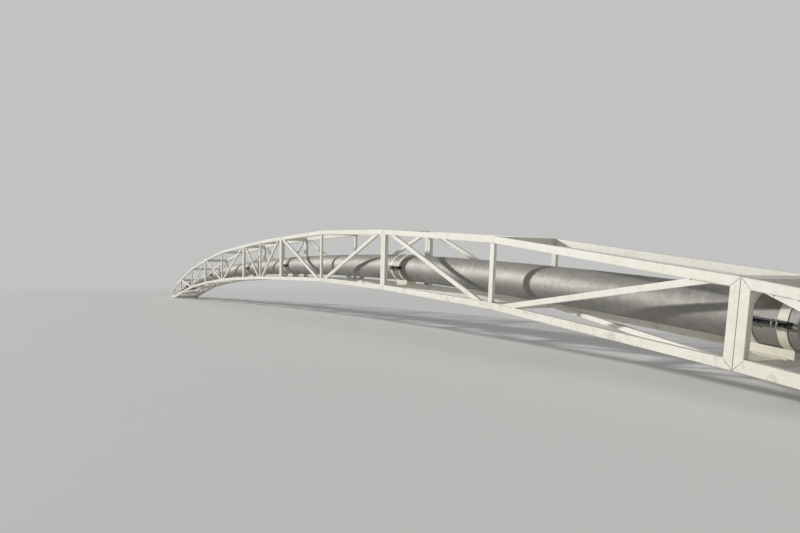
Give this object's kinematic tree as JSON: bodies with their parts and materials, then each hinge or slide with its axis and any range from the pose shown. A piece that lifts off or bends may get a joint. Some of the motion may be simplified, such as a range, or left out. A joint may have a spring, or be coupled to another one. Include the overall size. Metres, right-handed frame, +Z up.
{
  "type": "industrial pipe bridge",
  "caption": "Low arched steel truss bridge in bolted box modules, carrying a large insulated pipe in a sheet-metal casing between two white side frames.",
  "frame": {"origin": "centre of the bottom face of the bounding box, on the floor midway between the feet", "axes": "+X along the bridge, +Y across it from the near side frame to the far one, +Z up"},
  "size_m": [34.3, 1.3538, 2],
  "materials": {
    "frame_paint": "satin",
    "casing_sheet": "satin",
    "support_paint": "satin",
    "bare_steel": "matte"
  },
  "bodies": {
    "root": {"near_frame_1": "frame_paint", "far_frame_1": "frame_paint", "floor_frame_1": "frame_paint", "top_struts_1": "frame_paint", "casing_1": "casing_sheet", "near_frame_2": "frame_paint", "far_frame_2": "frame_paint", "floor_frame_2": "frame_paint", "top_struts_2": "frame_paint", "casing_2": "casing_sheet", "near_frame_3": "frame_paint", "far_frame_3": "frame_paint", "floor_frame_3": "frame_paint", "top_struts_3": "frame_paint", "casing_3": "casing_sheet", "near_frame_4": "frame_paint", "far_frame_4": "frame_paint", "floor_frame_4": "frame_paint", "top_struts_4": "frame_paint", "casing_4": "casing_sheet", "near_frame_5": "frame_paint", "far_frame_5": "frame_paint", "floor_frame_5": "frame_paint", "top_struts_5": "frame_paint", "casing_5": "casing_sheet", "near_frame_6": "frame_paint", "far_frame_6": "frame_paint", "floor_frame_6": "frame_paint", "top_struts_6": "frame_paint", "casing_6": "casing_sheet", "near_frame_7": "frame_paint", "far_frame_7": "frame_paint", "floor_frame_7": "frame_paint", "top_struts_7": "frame_paint", "casing_7": "casing_sheet", "strap_uppers": "support_paint", "strap_lowers": "support_paint", "pipe_shoes": "support_paint", "slide_plates": "support_paint", "pipe_stub_left": "bare_steel", "pipe_stub_right": "bare_steel", "foot_plates_left": "frame_paint", "foot_plates_right": "frame_paint"}
  },
  "joints": []
}
